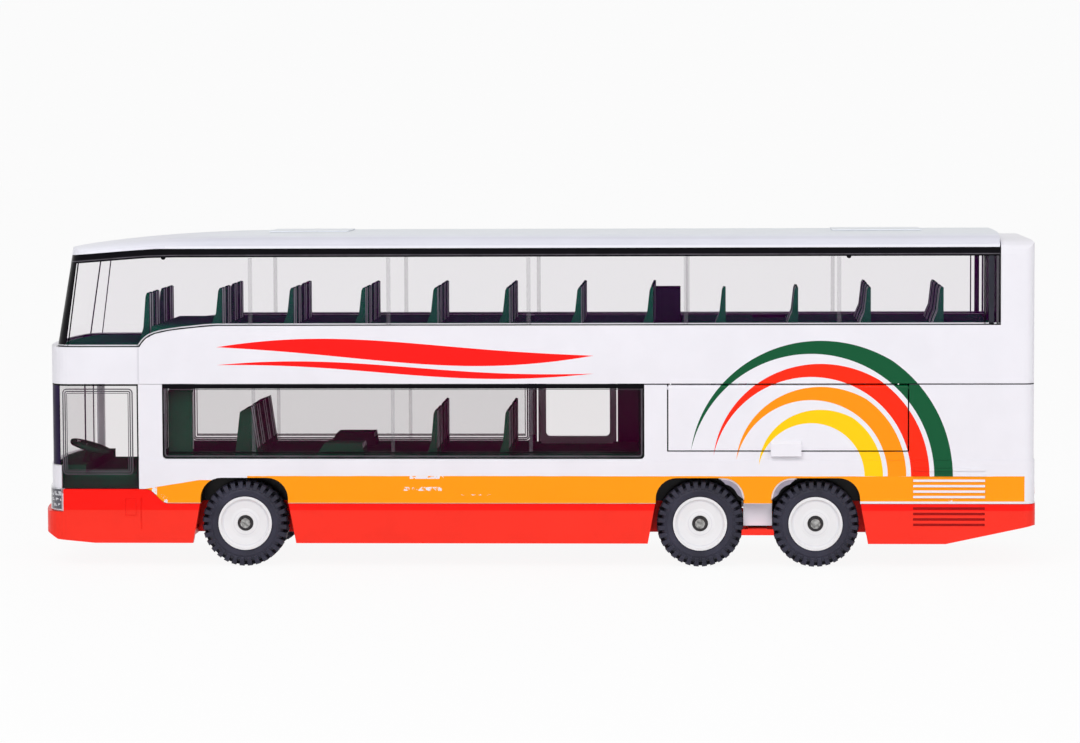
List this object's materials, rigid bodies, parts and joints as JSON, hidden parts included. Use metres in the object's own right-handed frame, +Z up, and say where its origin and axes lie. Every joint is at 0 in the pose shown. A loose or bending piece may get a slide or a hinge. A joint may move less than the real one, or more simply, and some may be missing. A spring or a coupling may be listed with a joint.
{
  "type": "toy double-decker coach",
  "caption": "Die-cast toy touring coach with two glazed decks, seats inside, rolling wheels on axles, hinged doors and hinged luggage flaps.",
  "frame": {"origin": "on the floor, under the middle of the coach's box", "axes": "+X forward, +Y to the coach's left, +Z up"},
  "size_m": [0.218, 0.0476, 0.0728],
  "materials": {
    "white_paint": "gloss",
    "white_plastic": "gloss",
    "smoked_clear": "clear, tinted",
    "clear": "clear",
    "green_plastic": "satin",
    "red_paint": "gloss",
    "red_clear": "gloss",
    "steel": "turned",
    "tyre": "matt",
    "hub_white": "gloss"
  },
  "bodies": {
    "coach": {"lower_shell": "white_paint", "upper_shell": "white_paint", "roof": "white_plastic", "roof_hatches": "white_plastic", "upper_glazing": "smoked_clear", "lower_windscreen": "smoked_clear", "left_side_glass": "smoked_clear", "right_side_glass": "smoked_clear", "rear_window": "smoked_clear", "upper_deck": "green_plastic", "lower_deck": "green_plastic", "steering_wheel": "green_plastic", "chassis": "red_paint", "rivets": "steel", "headlamp_left": "clear", "headlamp_right": "clear", "tail_lamps": "red_clear", "number_plates": "white_plastic", "front_axle": "steel", "rear_axle": "steel", "tag_axle": "steel"},
    "wheel_front_left": {"tyre_front_left": "tyre", "hub_front_left": "hub_white"},
    "wheel_front_right": {"tyre_front_right": "tyre", "hub_front_right": "hub_white"},
    "wheel_rear_left": {"tyre_rear_left": "tyre", "hub_rear_left": "hub_white"},
    "wheel_rear_right": {"tyre_rear_right": "tyre", "hub_rear_right": "hub_white"},
    "wheel_tag_left": {"tyre_tag_left": "tyre", "hub_tag_left": "hub_white"},
    "wheel_tag_right": {"tyre_tag_right": "tyre", "hub_tag_right": "hub_white"},
    "flap_left": {"luggage_flap_left": "white_paint"},
    "flap_right": {"luggage_flap_right": "white_paint"},
    "front_door": {"front_door": "white_paint"},
    "middle_door": {"middle_door": "white_paint"}
  },
  "joints": [
    {"name": "wheel_front_left_roll", "type": "hinge", "parent": "coach", "child": "wheel_front_left", "pos_m": [0.0632, 0.0194, 0.0094], "axis": [0, 1, 0], "continuous": true},
    {"name": "wheel_front_right_roll", "type": "hinge", "parent": "coach", "child": "wheel_front_right", "pos_m": [0.0632, -0.0194, 0.0094], "axis": [0, 1, 0], "continuous": true},
    {"name": "wheel_rear_left_roll", "type": "hinge", "parent": "coach", "child": "wheel_rear_left", "pos_m": [-0.036, 0.0194, 0.0094], "axis": [0, 1, 0], "continuous": true},
    {"name": "wheel_rear_right_roll", "type": "hinge", "parent": "coach", "child": "wheel_rear_right", "pos_m": [-0.036, -0.0194, 0.0094], "axis": [0, 1, 0], "continuous": true},
    {"name": "wheel_tag_left_roll", "type": "hinge", "parent": "coach", "child": "wheel_tag_left", "pos_m": [-0.061, 0.0194, 0.0094], "axis": [0, 1, 0], "continuous": true},
    {"name": "wheel_tag_right_roll", "type": "hinge", "parent": "coach", "child": "wheel_tag_right", "pos_m": [-0.061, -0.0194, 0.0094], "axis": [0, 1, 0], "continuous": true},
    {"name": "flap_left_hinge", "type": "hinge", "parent": "coach", "child": "flap_left", "pos_m": [-0.055, 0.0221, 0.039], "axis": [1, 0, 0], "range_deg": [0, 90]},
    {"name": "flap_right_hinge", "type": "hinge", "parent": "coach", "child": "flap_right", "pos_m": [-0.055, -0.0221, 0.039], "axis": [-1, 0, 0], "range_deg": [0, 90]},
    {"name": "front_door_hinge", "type": "hinge", "parent": "coach", "child": "front_door", "pos_m": [0.1023, -0.0221, 0.028], "axis": [0, 0, 1], "range_deg": [0, 85]},
    {"name": "middle_door_hinge", "type": "hinge", "parent": "coach", "child": "middle_door", "pos_m": [0.0005, -0.0221, 0.027], "axis": [0, 0, 1], "range_deg": [0, 85]}
  ]
}
